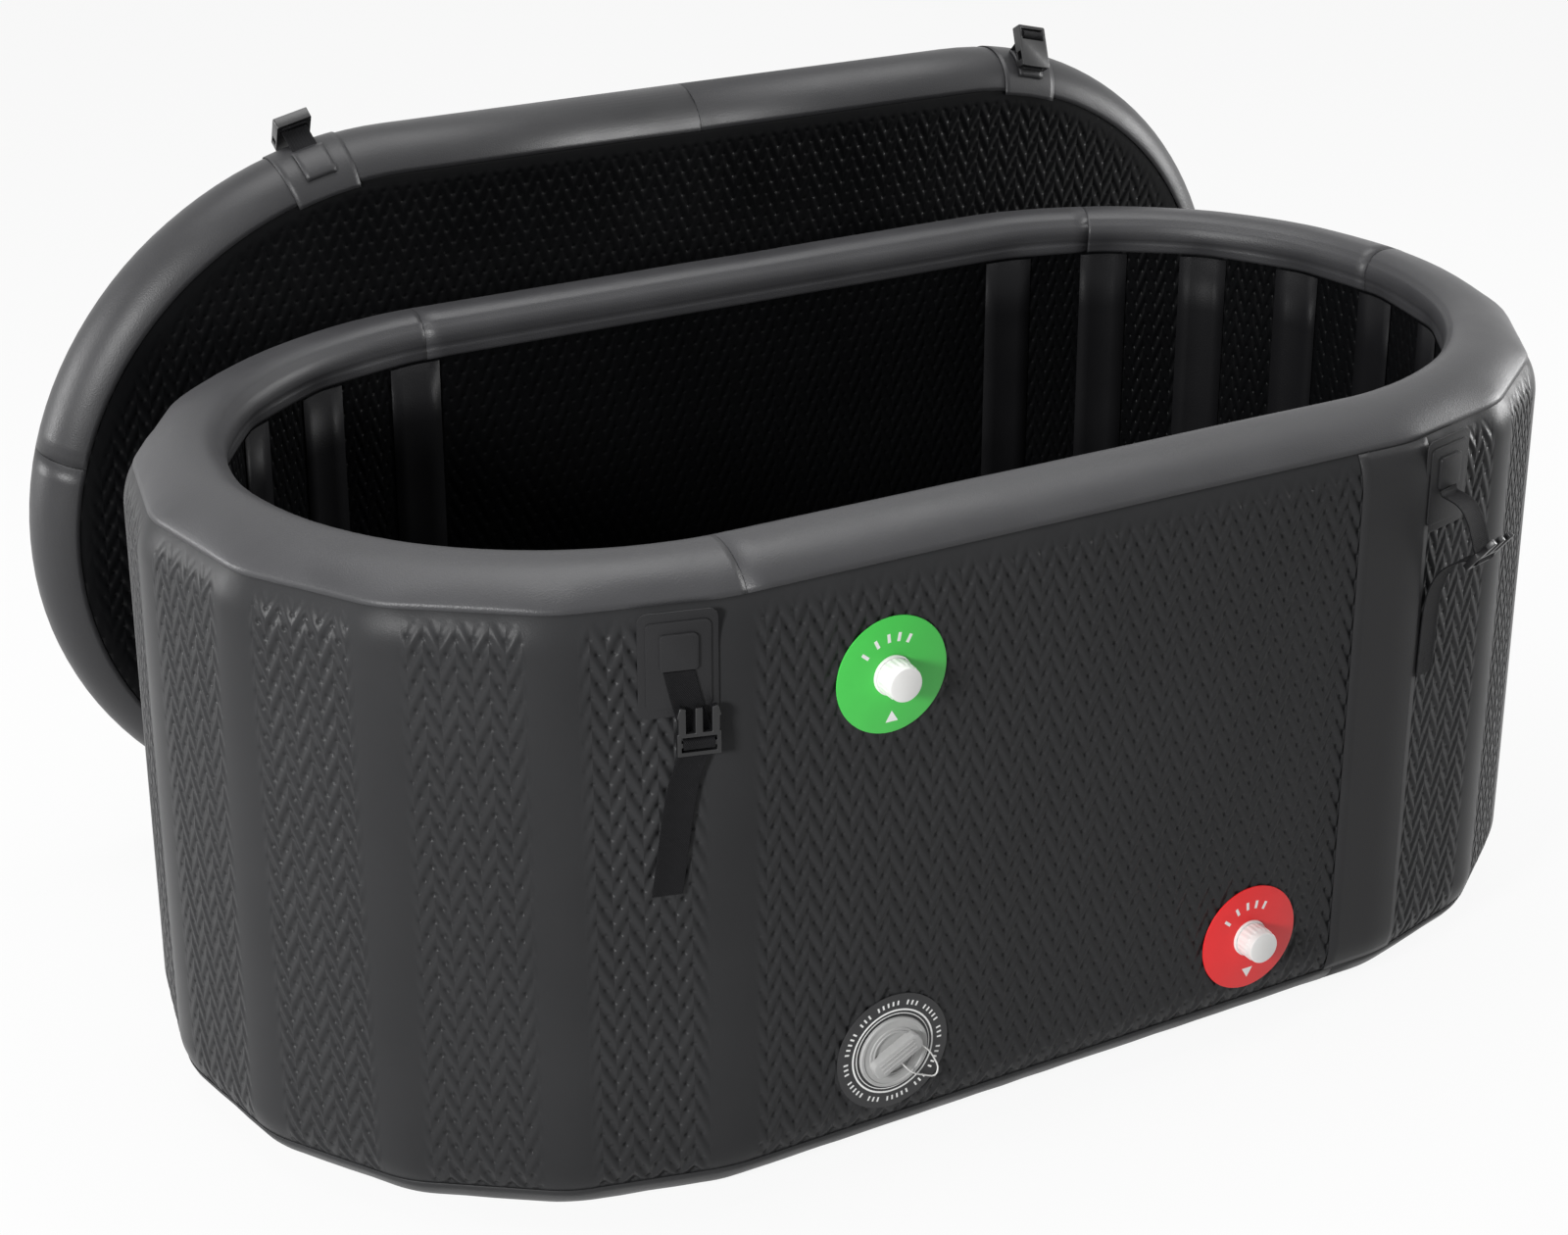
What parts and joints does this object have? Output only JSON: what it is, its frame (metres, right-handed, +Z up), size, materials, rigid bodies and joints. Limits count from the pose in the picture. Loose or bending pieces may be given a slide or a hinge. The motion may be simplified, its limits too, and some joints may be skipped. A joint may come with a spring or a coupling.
{
  "type": "cold plunge tub",
  "caption": "Oval inflatable drop-stitch cold plunge tub with water inlet and outlet fittings, inflation valve, strap buckles and a loose inflatable lid leaning behind it.",
  "frame": {"origin": "on the floor under the middle of the tub, in the floor sheet's underside", "axes": "+X along the tub, -Y out of the front wall that holds the water fittings, +Z up"},
  "size_m": [1.433, 0.9561, 0.7897],
  "materials": {
    "panel": "satin, embossed with short raised dimples",
    "smooth_tape": "smooth satin",
    "yarn": "fibrous, hidden between the skins",
    "green_disc": "smooth satin",
    "red_disc": "smooth satin",
    "white_plastic": "moulded, low gloss",
    "grey_plastic": "moulded, matt",
    "black_plastic": "moulded, matt",
    "black_rubber": "matt",
    "webbing": "woven",
    "spring_steel": "bright drawn wire"
  },
  "bodies": {
    "tub": {"wall_outer_skin": "panel", "wall_drop_stitch_core": "yarn", "wall_inner_skin": "panel", "rim_tape_front": "smooth_tape", "rim_tape_right": "smooth_tape", "rim_tape_back": "smooth_tape", "rim_tape_left": "smooth_tape", "bottom_tape_right": "panel", "bottom_tape_left": "panel", "floor_sheet": "panel", "inner_tape_right": "smooth_tape", "inner_tape_left": "smooth_tape", "wall_seam_tape": "smooth_tape", "water_in_disc": "green_disc", "water_in_pipe": "white_plastic", "water_in_gasket": "black_rubber", "water_in_lock_nut": "white_plastic", "water_out_disc": "red_disc", "water_out_pipe": "white_plastic", "water_out_gasket": "black_rubber", "water_out_lock_nut": "white_plastic", "valve_patch": "black_plastic", "valve_body": "grey_plastic", "valve_back_nut": "grey_plastic", "valve_spring": "spring_steel", "valve_lanyard": "white_plastic", "strap_patch_left": "panel", "strap_patch_right": "panel", "strap_tunnel_left": "panel", "strap_tunnel_right": "panel"},
    "water_in_cap": {"water_in_cap": "white_plastic"},
    "water_out_cap": {"water_out_cap": "white_plastic"},
    "valve_cap": {"valve_cap": "grey_plastic"},
    "valve_poppet": {"valve_poppet": "grey_plastic"},
    "strap_left": {"strap_left": "webbing", "male_buckle_left": "black_plastic"},
    "strap_right": {"strap_right": "webbing", "male_buckle_right": "black_plastic"},
    "lid": {"lid_face_skin": "panel", "lid_back_skin": "panel", "lid_drop_stitch_core": "yarn", "lid_rim_tape_right": "smooth_tape", "lid_rim_tape_left": "smooth_tape", "lid_rim_tape_bottom": "smooth_tape", "lid_strap_patch_left": "panel", "lid_strap_patch_right": "panel", "lid_strap_tunnel_left": "panel", "lid_strap_tunnel_right": "panel", "lid_valve_patch": "black_plastic", "lid_valve_body": "grey_plastic", "lid_valve_back_nut": "grey_plastic", "lid_valve_spring": "spring_steel"},
    "lid_valve_cap": {"lid_valve_cap": "grey_plastic"},
    "lid_valve_poppet": {"lid_valve_poppet": "grey_plastic"},
    "lid_strap_left": {"lid_strap_left": "webbing", "female_buckle_left": "black_plastic"},
    "lid_strap_right": {"lid_strap_right": "webbing", "female_buckle_right": "black_plastic"}
  },
  "joints": [
    {"name": "lid_lift", "type": "slide", "parent": "tub", "child": "lid", "axis": [0, 0, 1], "range_m": [0, 0.65]},
    {"name": "water_in_cap_turn", "type": "hinge", "parent": "tub", "child": "water_in_cap", "pos_m": [-0.20498, -0.385, 0.474], "axis": [0, -1, 0], "continuous": true},
    {"name": "water_out_cap_turn", "type": "hinge", "parent": "tub", "child": "water_out_cap", "pos_m": [0.18998, -0.385, 0.107], "axis": [0, -1, 0], "continuous": true},
    {"name": "valve_cap_turn", "type": "hinge", "parent": "tub", "child": "valve_cap", "pos_m": [-0.19898, -0.385, 0.108], "axis": [0, -1, 0], "range_deg": [0, 90], "deforming": ["valve_lanyard"]},
    {"name": "valve_poppet_push", "type": "slide", "parent": "tub", "child": "valve_poppet", "axis": [0, 1, 0], "range_m": [0, 0.004], "stiffness_N_per_m": 800, "springref_m": -0.001, "deforming": ["valve_spring"]},
    {"name": "strap_left_swing", "type": "hinge", "parent": "tub", "child": "strap_left", "pos_m": [-0.39737, -0.37781, 0.519], "axis": [-0.967, 0.2546, 0], "range_deg": [0, 90]},
    {"name": "strap_right_swing", "type": "hinge", "parent": "tub", "child": "strap_right", "pos_m": [0.39737, -0.37781, 0.519], "axis": [-0.967, -0.2546, 0], "range_deg": [0, 50]},
    {"name": "lid_valve_cap_turn", "type": "hinge", "parent": "lid", "child": "lid_valve_cap", "pos_m": [-0.287, 0.50015, 0.19573], "axis": [0, 0.9978, 0.0663], "range_deg": [0, 90]},
    {"name": "lid_valve_poppet_push", "type": "slide", "parent": "lid", "child": "lid_valve_poppet", "axis": [0, -0.9978, -0.0663], "range_m": [0, 0.004], "stiffness_N_per_m": 800, "springref_m": -0.001, "deforming": ["lid_valve_spring"]},
    {"name": "lid_strap_left_swing", "type": "hinge", "parent": "lid", "child": "lid_strap_left", "pos_m": [-0.40337, 0.41018, 0.75325], "axis": [0.9724, -0.0155, 0.2329], "range_deg": [0, 70]},
    {"name": "lid_strap_right_swing", "type": "hinge", "parent": "lid", "child": "lid_strap_right", "pos_m": [0.42937, 0.41018, 0.75325], "axis": [0.9724, 0.0155, -0.2329], "range_deg": [-70, 0]}
  ]
}
